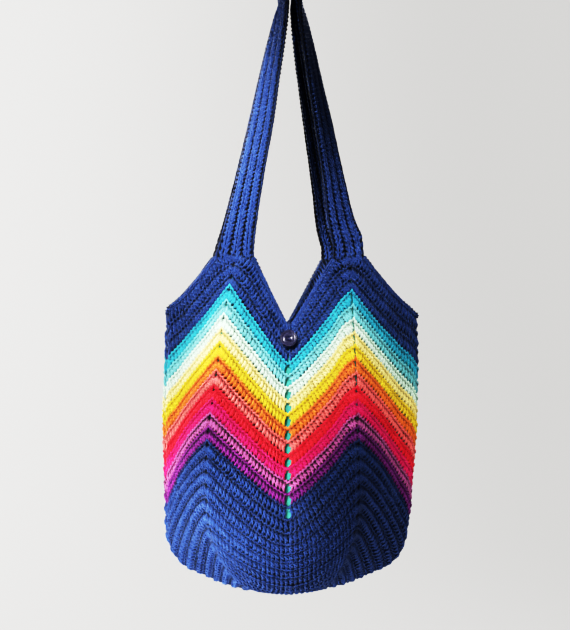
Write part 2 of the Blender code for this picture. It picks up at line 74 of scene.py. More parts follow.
VALLEY_MID = (
    (0, -4, -23, -485), (3, -6.5, -40, -529), (5, -7, -44.5, -557),
    (8, -8, -52, -612.5), (11, -8.5, -58.5, -668.5), (14, -9, -65, -721),
    (17, -9, -71, -772.5), (19, -9, -73, -798), (21, -8.5, -70, -823),
    (22.5, -7.5, -60, -841.5), (24, -6, -40, -851), (25.5, -4, -20, -856),
    (27, -2, 0, -859.5),
)
SIDE_LEFT = (
    (0, -177.5, 0, -461), (3, -178, 0, -526), (5, -178, 0, -561.5),
    (8, -178.5, 0, -618.5), (11, -176, 0, -680), (14, -174, 0, -737),
    (17, -168.5, 0, -792.5), (19, -148, 0, -819), (21, -123.5, 0, -832),
    (22.5, -106.5, 0, -840.5), (24, -88, 0, -847.5), (25.5, -66, 0, -853.5),
    (27, -36, 0, -858.5),
)
SIDE_RIGHT = (
    (0, 185, 0, -466), (3, 187, 0, -530.5), (5, 186, 0, -570.5),
    (8, 184, 0, -632.5), (11, 178.5, 0, -692), (14, 173.5, 0, -753),
    (17, 158.5, 0, -805), (19, 135.5, 0, -826), (21, 109, 0, -838),
    (22.5, 89.5, 0, -846), (24, 70, 0, -851.5), (25.5, 50, 0, -856),
    (27, 30, 0, -859),
)
# Foot of each handle leg on the rim: outer and inner corner.
FOOT_LEFT = ((-106.8, -52, -380), (-57.7, -60, -381))
FOOT_RIGHT = ((97.2, -52, -380), (54.7, -60, -383))

# Legs of a handle, bottom to top: (x, y, z, turn in degrees).
LEG_LEFT = (
    (-77.8, -56.5, -357, 16), (-75.2, -56, -344, 24), (-60.9, -49, -275, 42),
    (-42.9, -41, -191, 51), (-32, -35, -131.5, 59), (-21.4, -29, -77.5, 66),
    (-13.6, -25, -38, 76), (-9.7, -24.2, -18, 86),
)
LEG_RIGHT = (
    (74.6, -56.5, -358, 16), (69.7, -56, -344, 24), (56.3, -49, -275, 42),
    (41.6, -41, -191, 51), (30.6, -35, -131.5, 59), (20.9, -29, -77.5, 66),
    (13.7, -25, -38, 76), (9.7, -24.2, -18, 86),
)


# ------------------------------------------------------------------ the surface
def curve_through(table):
    """A smooth curve through rows of (parameter, value, ...), with sampled slopes."""
    data = np.array(table, dtype=float)
    xs, ys = data[:, 0], data[:, 1:]
    slopes = np.gradient(ys, xs, axis=0)

    def at(x):
        x = np.asarray(x, dtype=float)
        k = np.clip(np.searchsorted(xs, x, side="right") - 1, 0, len(xs) - 2)
        h = xs[k + 1] - xs[k]
        s = ((x - xs[k]) / h)[..., None]
        h = h[..., None]
        return (
            (2 * s**3 - 3 * s**2 + 1) * ys[k]
            + (s**3 - 2 * s**2 + s) * h * slopes[k]
            + (3 * s**2 - 2 * s**3) * ys[k + 1]
            + (s**3 - s**2) * h * slopes[k + 1]
        )

    return at


LINES = {
    "ridge": (curve_through(RIDGE_LEFT), curve_through(RIDGE_RIGHT)),
    "side": (curve_through(SIDE_LEFT), curve_through(SIDE_RIGHT)),
    "mid": (curve_through(VALLEY_MID), curve_through(VALLEY_MID)),
}


def smooth_step(x):
    x = np.clip(x, 0.0, 1.0)
    return x * x * (3 - 2 * x)


def surface(u, r):
    """Points of the middle of the fabric, in mm, for arrays u and r."""
    u, r = np.broadcast_arrays(np.mod(np.asarray(u, float), 8.0), np.asarray(r, float))
    back = (u > 2) & (u < 6)
    m = np.where(back, np.where(u <= 4, 4 - u, 12 - u), u)
    right = m <= 2
    h = np.where(right, m, 8 - m)       # 0 mid valley, 1 ridge, 2 side
    side = h > 1
    t = np.where(side, h - 1, 1 - h)    # 0 at the ridge, 1 at the valley
    pick = lambda name: np.where(right[..., None], LINES[name][1](r), LINES[name][0](r))
    ridge = pick("ridge")
    valley = np.where(side[..., None], pick("side"), pick("mid"))

    # low rounds sag into a bow, high ones run straight into the valley
    low = smooth_step((r - 14) / 5)
    bow = 1 - (1 - t) ** (1 + 0.7 * low)
    ease = t + (smooth_step(t) - t) * low
    share = np.stack(
        [np.where(side, ease, t), np.where(side, t, bow), np.where(side, ease, bow)], -1
    )
    p = ridge + (valley - ridge) * share

    # near the rim the rounds turn up into the handles
    lift = np.clip(1 - r / 3, 0, 1) ** 1.3
    zero = np.zeros_like(r)
    foot = np.where(
        right[..., None],
        np.where(side[..., None], FOOT_RIGHT[0], FOOT_RIGHT[1]),
        np.where(side[..., None], FOOT_LEFT[0], FOOT_LEFT[1]),
    )
    ridge0 = np.where(right[..., None], LINES["ridge"][1](zero), LINES["ridge"][0](zero))
    valley0 = np.where(
        side[..., None],
        np.where(right[..., None], LINES["side"][1](zero), LINES["side"][0](zero)),
        LINES["mid"][0](zero),
    )
    plain0 = ridge0 + (valley0 - ridge0) * CORNER_T
    corner = ridge + (valley - ridge) * CORNER_T + lift[..., None] * (foot - plain0)
    near = (t < CORNER_T)[..., None]
    ta = (t / CORNER_T)[..., None]
    tb = np.clip((t - CORNER_T) / (1 - CORNER_T), 0, 1)[..., None]
    top = np.where(near, ridge + (corner - ridge) * ta, corner + (valley - corner) * tb)
    sag = np.where(side, 5.0, 1.5) * lift * 4 * tb[..., 0] * (1 - tb[..., 0])
    top = top - np.stack([zero, zero, np.where(t < CORNER_T, 0, sag)], -1)
    p = np.where((r < 3)[..., None], top, p)

    # fullness of the cloth
    sign = np.where(right, 1.0, -1.0)
    hump = 4 * t * (1 - t)
    full = np.interp(r, (3, 8, 14, 17, 20, 24, 27), (0, 3, 8, 11, 9, 4, 0)) * hump
    puff = np.interp(r, (0, 2, 6, 12, 16, 18), (2, 5, 6, 4, 2, 0)) * np.exp(
        -(((t - 0.85) / 0.09) ** 2)
    )
    puff = puff * np.where(right, 0.6, 1.0)
    belly = np.interp(r, (0, 3, 10, 17, 22, 27), (0, 0, 3, 5, 4, 0)) * hump
    belly = belly + 4.5 * np.clip(1 - r / 4, 0, 1) * np.exp(-(((1 - t) / 0.1) ** 2))
    flat = 1 - t * smooth_step((r - 19) / 3)    # the base itself has no bulge at its ends
    dx = np.where(side, sign * (0.8 * full * flat + puff), 0)
    dy = np.where(side, 0, -belly)
    dz = np.where(side, 0.6 * full, 0)
    p = p + np.stack([dx, dy, dz], -1)
    p[..., 1] = np.where(back, -p[..., 1], p[..., 1])

    # on the left the fold lies a little behind the valley, which so shows its holes
    left = side & ~right
    fold = np.interp(r, (0, 2, 14, 17, 20), (0.5, 1, 1, 0.5, 0))
    near = np.where(left, fold * np.exp(-(((1 - t) / 0.11) ** 2)), 0)
    bulge = np.where(left & back, fold * np.exp(-(((t - 0.9) / 0.05) ** 2)), 0)
    p = p + np.stack([4.0 * near - 4.5 * bulge, -7.0 * near, 0 * near], -1)

    # the rounds hang in a rounded V: lower near the valleys, a little flatter on the ridges
    much = np.interp(r, (0, 3, 5, 14, 17, 20), (0, 0.7, 1, 1, 0.5, 0))
    drop = (valley - ridge)[..., 2] * much * (t - t**6) * np.where(side, 0.07 * right, 0.13 - 0.05 * right)
    tip = np.interp(r, (0, 3, 5, 8, 14, 17, 19, 21), (0, 2, 8, 7.5, 6.5, 5, 3, 0))
    drop = drop - np.where(side, 3.0 * much * right, tip) * t
    # and lowest of all where the cloth turns round the sides
    slack = np.where(
        right, np.interp(r, (3, 5, 8, 11, 14), (6, 3, -1, -3, -4)),
        np.interp(r, (3, 5, 8, 11, 14), (6, 4, 2.5, -2, -2)),
    )
    turn = 9.0 * np.exp(-(((1 - t) / np.where(right, 0.12, 0.22)) ** 2))
    drop = drop - np.where(side, much * (slack * np.clip(t / 0.3, 0, 1) + turn), 0)
    flat_peak = np.where(right & ~side, 6.0 * much * np.exp(-(((t - 0.15) / 0.12) ** 2)), 0)
    p = p + np.stack([zero, zero, drop + flat_peak], -1)
    return p


def outward(u, r, start=23.5, span=2.5):
    """Unit normals of the surface, pointing out of the bag; straight down in the base."""
    r = np.minimum(np.asarray(r, float), 26.9)
    du = surface(np.asarray(u) + 0.04, r) - surface(np.asarray(u) - 0.04, r)
    dr = surface(u, np.minimum(r + 0.08, 27)) - surface(u, np.maximum(r - 0.08, 0))
    n = np.cross(dr, du)
    n /= np.maximum(np.linalg.norm(n, axis=-1, keepdims=True), 1e-9)
    down = smooth_step((r - start) / span)[..., None] * np.ones_like(n)
    n = n * (1 - down) + np.array([0.0, 0.0, -1.0]) * down
    return n / np.linalg.norm(n, axis=-1, keepdims=True)


# ------------------------------------------------------------------ yarn tubes
class Yarn:
    """Collects tubes of yarn and makes one mesh of them."""

    def __init__(self, name):
        self.name = name
        self.verts, self.quads, self.uvs, self.tone, self.lift = [], [], [], [], []
        self.count = 0

    def add(self, path, normal, radius, sides=5, tone=None, height=2.0):
        """path and normal are (strands, points, 3) in mm, radius and height above the middle
        of the fabric (points) or (strands, points)."""
        path = np.asarray(path, float)
        n, m, _ = path.shape
        if n == 0:
            return
        radius = np.broadcast_to(np.asarray(radius, float), (n, m))
        tan = np.empty_like(path)
        tan[:, 1:-1] = path[:, 2:] - path[:, :-2]
        tan[:, 0] = path[:, 1] - path[:, 0]
        tan[:, -1] = path[:, -1] - path[:, -2]
        tan /= np.maximum(np.linalg.norm(tan, axis=-1, keepdims=True), 1e-9)
        across = np.cross(tan, normal)
        across /= np.maximum(np.linalg.norm(across, axis=-1, keepdims=True), 1e-9)
        up = np.cross(across, tan)
        ang = 2 * np.pi * (np.arange(sides) + 0.25) / sides
        ring = path[:, :, None] + radius[..., None, None] * (
            np.cos(ang)[:, None] * up[:, :, None] + np.sin(ang)[:, None] * across[:, :, None]
        )
        # lift is each vertex's height above the middle of the fabric; the yarn material turns it into painted
        # shade of the hollows
        lift = ((ring - path[:, :, None]) * np.broadcast_to(normal, path.shape)[:, :, None]).sum(-1)
        lift = lift + np.broadcast_to(np.asarray(height, float), (n, m))[..., None]
        at = self.count + np.arange(n)[:, None, None] * m * sides
        j = np.arange(m - 1)[None, :, None] * sides
        s = np.arange(sides)[None, None, :]
        s2 = (s + 1) % sides
        quad = np.stack(
            [at + j + s, at + j + s2, at + j + sides + s2, at + j + sides + s], -1
        ).reshape(-1, 4)
        seg = np.linalg.norm(np.diff(path, axis=1), axis=-1)
        run = np.concatenate([np.zeros((n, 1)), np.cumsum(seg, axis=1)], axis=1)
        run = run + rng.uniform(0, 20, (n, 1))
        ones = np.ones((n, m - 1, sides))
        u0, u1 = s / sides * ones, (s + 1) / sides * ones
        v0, v1 = run[:, :-1, None] * ones, run[:, 1:, None] * ones
        uv = np.stack(
            [np.stack(p, -1) for p in ((u0, v0), (u1, v0), (u1, v1), (u0, v1))], -2
        ).reshape(-1, 2)
        tone = rng.uniform(0, 1, n) if tone is None else np.broadcast_to(tone, (n,))
        self.verts.append(ring.reshape(-1, 3))
        self.quads.append(quad)
        self.uvs.append(uv)
        self.tone.append(np.repeat(tone, m * sides))
        self.lift.append(lift.ravel())
        self.count += n * m * sides

    def build(self, mat):
        print("triangles", self.name, sum(2 * len(q) for q in self.quads))
        verts = np.concatenate(self.verts) * MM
        quads = np.concatenate(self.quads).astype(np.int32)
        mesh = bpy.data.meshes.new(self.name)
        mesh.vertices.add(len(verts))
        mesh.vertices.foreach_set("co", verts.astype(np.float32).ravel())
        mesh.loops.add(len(quads) * 4)
        mesh.loops.foreach_set("vertex_index", quads.ravel())
        mesh.polygons.add(len(quads))
        mesh.polygons.foreach_set("loop_start", np.arange(len(quads), dtype=np.int32) * 4)
        mesh.update(calc_edges=True)
        layer = mesh.uv_layers.new(name="yarn")
        layer.data.foreach_set("uv", np.concatenate(self.uvs).astype(np.float32).ravel())
        tone = mesh.attributes.new("tone", "FLOAT", "POINT")
        tone.data.foreach_set("value", np.concatenate(self.tone).astype(np.float32))
        lift = mesh.attributes.new("lift", "FLOAT", "POINT")
        lift.data.foreach_set("value", np.concatenate(self.lift).astype(np.float32))
        mesh.polygons.foreach_set("use_smooth", np.ones(len(quads), dtype=bool))
        mesh.materials.append(mat)
        mesh.validate()
        ob = bpy.data.objects.new(self.name, mesh)
        bpy.context.collection.objects.link(ob)
        return ob


# ------------------------------------------------------------------ materials
def nodes_of(mat):
    mat.use_nodes = True
    tree = mat.node_tree
    return tree, tree.nodes["Principled BSDF"]


def yarn_material(name, color, dark=0.55, sheen=0.06, rough=0.55, shade_in_hollows=0.05, darkest_lift=-0.8):
    """Plied cotton: twist along the strand, with painted shade in its grooves, fibre fuzz, a little variation, and
    painted shade that darkens the colour in the hollows between the strands, the more the lower the yarn lies."""
    mat = bpy.data.materials.new(name)
    tree, shader = nodes_of(mat)
    new, link = tree.nodes.new, tree.links.new
    uv = new("ShaderNodeUVMap")
    uv.uv_map = "yarn"
    turn = new("ShaderNodeMapping")
    turn.inputs["Scale"].default_value = (1.885, 0.2827, 1.0)
    link(uv.outputs["UV"], turn.inputs["Vector"])
    ply = new("ShaderNodeTexWave")
    ply.wave_type, ply.bands_direction, ply.wave_profile = "BANDS", "DIAGONAL", "SIN"
    ply.inputs["Scale"].default_value = 1.0
    ply.inputs["Distortion"].default_value = 0.4
    ply.inputs["Detail"].default_value = 1.0
    link(turn.outputs["Vector"], ply.inputs["Vector"])
    where = new("ShaderNodeTexCoord")
    fuzz = new("ShaderNodeTexNoise")
    fuzz.inputs["Scale"].default_value = 1800.0
    fuzz.inputs["Detail"].default_value = 3.0
    link(where.outputs["Object"], fuzz.inputs["Vector"])
    patch = new("ShaderNodeTexNoise")
    patch.inputs["Scale"].default_value = 28.0
    patch.inputs["Detail"].default_value = 2.0
    link(where.outputs["Object"], patch.inputs["Vector"])
    tone = new("ShaderNodeAttribute")
    tone.attribute_name = "tone"

    def mapped(source, low, high, out):
        node = new("ShaderNodeMapRange")
        node.inputs["From Min"].default_value, node.inputs["From Max"].default_value = low
        node.inputs["To Min"].default_value, node.inputs["To Max"].default_value = high
        link(source, node.inputs["Value"])
        return node.outputs["Result"]

    def times(a, b):
        node = new("ShaderNodeMath")
        node.operation = "MULTIPLY"
        link(a, node.inputs[0])
        link(b, node.inputs[1])
        return node.outputs[0]

    lift = new("ShaderNodeAttribute")
    lift.attribute_name = "lift"
    # painted shade of the hollows: the lower the yarn lies (its lift), the darker its colour
    painted_hollow_shade = mapped(lift.outputs["Fac"], (darkest_lift, 3.3), (shade_in_hollows, 1.0), 0)
    painted_hollow_shade.node.interpolation_type = "SMOOTHSTEP"
    value = times(painted_hollow_shade, times(
        times(
            # painted shade in the grooves of the ply twist
            mapped(ply.outputs["Fac"], (0.0, 0.7), (dark, 1.0), 0),
            mapped(tone.outputs["Fac"], (0.0, 1.0), (0.9, 1.06), 0),
        ),
        mapped(patch.outputs["Fac"], (0.3, 0.7), (0.94, 1.05), 0),
    ))
    tint = new("ShaderNodeMix")
    tint.data_type = "RGBA"
    tint.blend_type = "MULTIPLY"
    tint.inputs["Factor"].default_value = 1.0
    tint.inputs[6].default_value = (*color, 1)
    grey = new("ShaderNodeCombineColor")
    for k in range(3):
        link(value, grey.inputs[k])
    link(grey.outputs["Color"], tint.inputs[7])
    link(tint.outputs[2], shader.inputs["Base Color"])
    bump = new("ShaderNodeBump")
    bump.inputs["Strength"].default_value = 0.8
    bump.inputs["Distance"].default_value = 0.0006
    link(ply.outputs["Fac"], bump.inputs["Height"])
    fine = new("ShaderNodeBump")
    fine.inputs["Strength"].default_value = 0.35
    fine.inputs["Distance"].default_value = 0.0002
    link(fuzz.outputs["Fac"], fine.inputs["Height"])
    link(bump.outputs["Normal"], fine.inputs["Normal"])
    link(fine.outputs["Normal"], shader.inputs["Normal"])
    shader.inputs["Roughness"].default_value = rough
    shader.inputs["Specular IOR Level"].default_value = 0.22
    shader.inputs["Sheen Weight"].default_value = sheen
    shader.inputs["Sheen Roughness"].default_value = 0.45
    shader.inputs["Sheen Tint"].default_value = (
        *[0.5 + 0.5 * c for c in color], 1.0
    )
    return mat


# ------------------------------------------------------------------ stitches of the body
SHIFT_ROUNDS = (0, 14, 17, 22, 27)
SHIFT_STITCHES = (1.5, 1.5, 1.1, 0.6, 0.5)
# how far the stitches bow apart around the valley holes, in stitches
OPEN_ROUNDS = (0, 2, 3, 13, 14, 15, 17)
OPEN_WIDTH = (0.0, 0.1, 0.85, 0.85, 0.45, 0.0, 0.0)

# (across in stitches, up in rounds, out in mm, thickness); 0 up is where a stitch is worked into
LEG_A = (
    (0.02, -0.06, -1.6, 0.75), (-0.15, 0.17, 1.2, 0.98), (-0.19, 0.38, 2.1, 1.04),
    (-0.15, 0.64, 1.5, 0.95), (-0.17, 0.95, 0.0, 0.85),
)
LEG_B = (
    (0.06, -0.06, -1.6, 0.75), (0.17, 0.17, 0.0, 0.92), (0.20, 0.38, 0.5, 0.95),
    (0.21, 0.70, 0.6, 0.9), (0.16, 0.95, -0.5, 0.8),
)
WRAP = (
    (0.56, 0.33, 0.1, 0.75), (0.22, 0.45, 2.2, 1.0), (-0.20, 0.58, 2.4, 1.0),
    (-0.56, 0.70, 0.3, 0.75),
)
LINK = (
    (-0.62, 0.88, -0.9, 0.85), (-0.34, 0.95, 1.5, 1.0), (0.0, 1.07, 2.5, 1.05),
    (0.34, 1.00, 1.5, 1.0), (0.60, 0.90, -0.8, 0.85),
)
BACK = ((-0.62, 1.02, -1.6, 1.15), (0.0, 1.10, -2.2, 1.25), (0.60, 1.02, -1.6, 1.15))
# the back of the stitch, which closes the fabric between two posts; lying deep, it gets the darkest painted shade
# of the hollows
BEHIND = ((0.52, -0.04, -2.4, 1.4), (0.54, 0.35, -2.1, 1.6), (0.54, 0.94, -2.1, 1.6))
BEHIND_BASE = ((0.52, -0.04, -2.4, 2.0), (0.54, 0.40, -2.0, 2.2), (0.54, 0.94, -2.2, 2.1))
# fills the corner under its chain
CORNER = (
    (0.0, 0.10, -0.6, 0.9), (0.02, 0.25, 0.9, 1.2), (0.0, 0.50, 0.9, 1.2), (0.0, 0.66, -0.4, 0.8),
)
CORNER_LINK = (
    (-0.95, 0.90, -0.4, 0.85), (-0.50, 1.02, 1.3, 1.05), (0.0, 1.12, 1.9, 1.1),
    (0.50, 1.05, 1.4, 1.05), (0.95, 0.92, -0.4, 0.85),
)


def to_u(facet, t):
    """t is 0 at the facet's ridge and 1 at its valley."""
    return facet + 1 - t if facet % 2 == 0 else facet + t


def arc(facet, r):
    t = np.linspace(0, 1, 81)
    p = surface(to_u(facet, t), np.full(81, float(r)))
    d = np.concatenate([[0], np.cumsum(np.linalg.norm(np.diff(p, axis=0), axis=1))])
    return t, d / d[-1], d[-1]


def share_to_t(share, t, d):
    """Share of the facet's length to t, mirrored past either end."""
    low, high = share < 0, share > 1
    x = np.where(low, -share, np.where(high, 2 - share, share))
    v = np.interp(x, d, t)
    return np.where(low, -v, np.where(high, 2 - v, v))


def wobble(u, r, size):
    """A slow unevenness of hand work."""
    return size * (
        np.sin(5.1 * u + 2.3 * r) + 0.7 * np.sin(11.7 * u - 3.1 * r + 1.0)
        + 0.5 * np.sin(23.0 * u + 5.3 * r + 2.0)
    )


def lay(facet, r0, s_base, s_top, pitch, shape, jitter=None, flip=1.0):
    """Paths of one strand shape at stitches given by their shares along the facet."""
    t0, d0, _ = arc(facet, r0 + 0.03)
    t1, d1, _ = arc(facet, r0 + 1.0)
    a, b, h, thick = np.array(shape).T
    n = len(s_top)
    sign = 1.0 if facet % 2 else -1.0
    a = np.broadcast_to(a, (n, len(b)))
    b = np.broadcast_to(b, a.shape)
    h = np.broadcast_to(h * flip, a.shape)
    if jitter is not None:
        a = a + jitter[:, 0:1]
        b = b + jitter[:, 1:2]
        h = h + jitter[:, 2:3]
    bb = np.clip(b, 0, 1)
    # the navy rounds stand up as ribs, with a groove where one meets the next
    if r0 < 3 or r0 > 13:
        rib = 0.5 if r0 < 3 or facet in (2, 7) else 1.9 if facet in (5, 6) else 0.7
        h = h + flip * rib * (np.sin(np.pi * bb) - 0.6)
    edge = 1 - s_top
    if facet in (5, 6):       # the side valleys are drawn in, the right one more
        h = h - 1.9 * np.exp(-((edge / (0.9 * pitch)) ** 2))[:, None]
    if facet in (1, 2):
        h = h - 3.2 * np.exp(-((edge / (0.7 * pitch)) ** 2))[:, None]
    share = s_base[:, None] + (s_top - s_base)[:, None] * b + sign * a * pitch
    # the last stitches bow apart around the hole in the valley
    wide = float(np.interp(r0, OPEN_ROUNDS, OPEN_WIDTH)) * (0.4 if facet in (1, 2) else 1.0)
    bow = np.sin(np.pi * np.clip((b + 0.02) / 0.82, 0, 1)) ** 2
    away = np.exp(-np.maximum(1 - 0.5 * (s_top + s_base) - 0.6 * pitch, 0) / (2.4 * pitch))
    share = share - wide * pitch * bow * (away * (s_top < 1 - 0.1 * pitch))[:, None]
    t = share_to_t(share, t1, d1) * (1 - bb) + share_to_t(share, t0, d0) * bb
    u = to_u(facet, t)
    r = r0 + 1 - b + wobble(u, r0 + 0 * u, 0.035) * 0.6
    r = np.clip(r, -0.12, 27.0)
    nrm = outward(u, r)
    return surface(u, r) + nrm * (h + wobble(u, r, 0.2))[..., None], nrm, thick * YARN, h * flip


def stitch_row(yarn, r0, inside=False):
    """One round of double crochet, its top at round r0."""
    for facet in range(8):
        _, _, top_len = arc(facet, r0 + 0.03)
        _, _, base_len = arc(facet, r0 + 1.0)
        wide = PITCH if r0 < 14 else 1.06 * PITCH
        n = max(2, int(round((top_len + base_len) / 2 / wide - 0.45)))
        front = facet in (0, 1, 6, 7)
        detail = 3 if r0 > 19 else 5 if front and r0 < 14 and not inside else 4
        k = np.arange(n)
        e0, e1 = 0.35, float(np.interp(r0, (0, 14, 17), (0.25, 0.25, 0.02)))
        pitch = 1 / (n + e0 + e1)
        s_top = (e0 + k + 0.5) * pitch
        shift = float(np.interp(r0, SHIFT_ROUNDS, SHIFT_STITCHES))
        # two stitches share the corner space below, and the last ones draw together over the
        # hole in the valley, which closes in the base
        s_base = np.maximum(s_top - shift * pitch, (0.5 + 0.3 * k) * pitch)
        gap = float(np.interp(r0, (0, 14, 17), (0.85, 0.85, 0.5)))
        few = min(8, n // 2)
        step = (e1 + 0.5 + few + shift - gap) / few
        s_base = np.where(n - 1 - k < few, 1 - (gap + step * (n - 1 - k)) * pitch, s_base)
        jit = rng.normal(0, 1, (n, 3)) * np.array([0.03, 0.015, 0.1])

        def put(shape, jitter=jit, top=s_top, base=s_base, flip=1.0, sides=detail):
            p, nrm, thick, high = lay(facet, r0, base, top, pitch, shape, jitter, flip)
            # the height also sets how much painted shade of the hollows the strand's colour gets
            yarn.add(p, nrm * flip, thick, sides, height=high)

        for shape in (LEG_A, LEG_B, WRAP):
            put(shape)
        # no chain runs across under a handle, whose ribs grow out of the rim there
        t_top = np.interp(s_top, arc(facet, r0 + 0.03)[1], arc(facet, r0 + 0.03)[0])
        free = t_top > (CORNER_T if r0 == 0 else -1)
        put(LINK, jit[free], s_top[free], s_base[free], sides=detail if r0 < 14 else 3)
        # nothing behind the holes at the ridge and in the valley
        held = (k < n - 1 if facet % 2 else k > 0) | (r0 < 3) | (r0 > 14)
        put(BEHIND if r0 < 14 else BEHIND_BASE, jit[held], s_top[held], s_base[held], sides=3)
        put(BACK[:: 1 if r0 < 14 else 2], sides=3)
        if inside:
            for shape in (LEG_A, LEG_B, WRAP):
                put(shape, flip=-1.0, sides=3)
        # the base is worked tighter: yarn carried along behind the stitches closes it
        if r0 > 13:
            first = 0.12 if r0 == 14 else 0.0
            for b in (0.1, 0.3, 0.5, 0.7, 0.9):
                t = np.linspace(-0.01, 1.01 - first, 13)
                u, r = to_u(facet, t), np.full(13, r0 + 1 - b)
                nrm = outward(u, r)
                yarn.add([surface(u, r) - 2.5 * nrm], [nrm], 1.9, 3, height=-2.5)
        # the chain over the corner with the stitch under it, and the chain over the valley
        if facet % 2:
            none = np.array([0.0])
            if r0 > 0:
                put(CORNER_LINK, None, none, none)
            # the right ridge is stretched, so its corner spaces stay open
            for side in (-0.22, 0.22) if facet != 1 or not 3 <= r0 < 10 else ():
                s = np.array([side * pitch])
                put(CORNER, None, s, s)
        else:
            one = np.array([1.0])
            put(LINK, None, one, one)
            if r0 > 14:
                put(BEHIND, None, one - 0.5 * pitch, one - 0.5 * pitch, sides=4)


# ------------------------------------------------------------------ the coloured rounds
# colour, and how much of it the painted shade leaves in the hollows between the stitches
COLOURS = {
    "navy": ((0.032, 0.066, 0.19), 0.03),
    "turquoise": ((0.045, 0.35, 0.44), 0.10),
    "mint": ((0.19, 0.48, 0.50), 0.10),
    "cream": ((0.57, 0.74, 0.60), 0.2),
    "pale_yellow": ((0.80, 0.66, 0.27), 0.28),
    "yellow": ((0.74, 0.52, 0.045), 0.26),
    "orange": ((0.80, 0.20, 0.043), 0.16),
    "salmon": ((0.86, 0.185, 0.175), 0.1),
    "red": ((0.72, 0.028, 0.056), 0.4),
    "magenta": ((0.67, 0.026, 0.155), 0.3),
    "lilac": ((0.44, 0.13, 0.30), 0.03),
    "purple": ((0.20, 0.030, 0.20), 0.04),
}
# how low the yarn lies (lift) where the painted shade of the hollows is darkest, -0.8 where not given
DARKEST_LIFT = {"salmon": 0.0, "lilac": 0.4, "purple": 0.2, "orange": -0.4}
MATS = {
    k: yarn_material(k + "_yarn", c, shade_in_hollows=d, darkest_lift=DARKEST_LIFT.get(k, -0.8))
    for k, (c, d) in COLOURS.items()
}
STEPS = (
    "turquoise", "mint", "cream", "pale_yellow", "yellow", "orange", "salmon", "red",
    "magenta", "lilac", "purple",
)


def piece(ob, slot, *nodes):
    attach(ob, "root")
    if nodes:
        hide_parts(*nodes)
    return ob


def braid(yarn, points, normals, out, half=1.9, pitch=6.3, rad=YARN):
    """A column of chains laid along a line of points."""
    far = np.concatenate([[0], np.cumsum(np.linalg.norm(np.diff(points, axis=0), axis=1))])
    n = int(round(far[-1] / pitch))
    pitch = far[-1] / n

    def at(table, m):
        return np.stack([np.interp(m, far, table[:, k]) for k in range(3)], -1)

    for s in (-1, 1):
        a = np.array([-0.35, 0.15, 0.65, 1.10])
        m = np.clip((np.arange(n)[:, None] + a) * pitch, 0, far[-1])
        m = m + rng.normal(0, 0.12, (n, 1))
        p, nrm = at(points, m), at(normals, m)
        nrm /= np.linalg.norm(nrm, axis=-1, keepdims=True)
        tan = at(points, m + 1.0) - at(points, m - 1.0)
        across = np.cross(tan, nrm)
        across /= np.maximum(np.linalg.norm(across, axis=-1, keepdims=True), 1e-9)
        side = s * half * np.array([0.2, 0.7, 1.0, 0.65])
        up = out + np.array([-1.5, -0.1, -0.1, -1.7])
        yarn.add(
            p + across * side[:, None] + nrm * up[:, None], nrm,
            rad * np.array([0.8, 1, 1, 0.8]), sides=4, height=up,
        )


rim = Yarn("rim_stitches")
for r0 in range(3):
    stitch_row(rim, r0, inside=True)
# the edge of the mouth, which runs up into the outer ribs of the handles
for corner in (7, 1, 3, 5):
    us = np.linspace(corner + CORNER_T, corner + 2 - CORNER_T, 160)
    edge, away = surface(us, np.full(160, 0.02)), outward(us, np.full(160, 0.15))
    braid(rim, edge, away, 1.9)
    braid(rim, edge, -away, 1.2)
piece(rim.build(MATS["navy"]), "navy_yarn", "rim_rounds")

for i, colour in enumerate(STEPS):
    yarn = Yarn(colour + "_stitches")
    stitch_row(yarn, 3 + i)
    piece(yarn.build(MATS[colour]), colour + "_yarn", "round_" + colour)

upper, lower = Yarn("base_stitches_upper"), Yarn("base_stitches_lower")
for r0 in range(14, 27):
    stitch_row(upper if r0 < 20 else lower, r0)
piece(upper.build(MATS["navy"]), "navy_yarn", "base_rounds")
piece(lower.build(MATS["navy"]), "navy_yarn", "base_rounds")


# ------------------------------------------------------------------ lining
def cloth_material(name, color):
    mat = bpy.data.materials.new(name)
    tree, shader = nodes_of(mat)
    new, link = tree.nodes.new, tree.links.new
    where = new("ShaderNodeTexCoord")
    heights = []
    for direction, scale in (("X", 420.0), ("Z", 380.0)):
        wave = new("ShaderNodeTexWave")
        wave.wave_type, wave.bands_direction = "BANDS", direction
        wave.inputs["Scale"].default_value = scale
        wave.inputs["Distortion"].default_value = 0.6
        link(where.outputs["Object"], wave.inputs["Vector"])
        heights.append(wave.outputs["Fac"])
    both = new("ShaderNodeMath")
    both.operation = "MULTIPLY"
    link(heights[0], both.inputs[0])
    link(heights[1], both.inputs[1])
    noise = new("ShaderNodeTexNoise")
    noise.inputs["Scale"].default_value = 30.0
    link(where.outputs["Object"], noise.inputs["Vector"])
    ramp = new("ShaderNodeValToRGB")
    ramp.color_ramp.elements[0].color = (*[c * 0.75 for c in color], 1)
    ramp.color_ramp.elements[1].color = (*color, 1)
    ramp.color_ramp.elements[0].position = 0.3
    ramp.color_ramp.elements[1].position = 0.6
    link(noise.outputs["Fac"], ramp.inputs["Fac"])
    link(ramp.outputs["Color"], shader.inputs["Base Color"])
    bump = new("ShaderNodeBump")
    bump.inputs["Strength"].default_value = 0.3
    bump.inputs["Distance"].default_value = 0.0003
    link(both.outputs[0], bump.inputs["Height"])
    link(bump.outputs["Normal"], shader.inputs["Normal"])
    shader.inputs["Roughness"].default_value = 0.8
    shader.inputs["Sheen Weight"].default_value = 0.15
    return mat


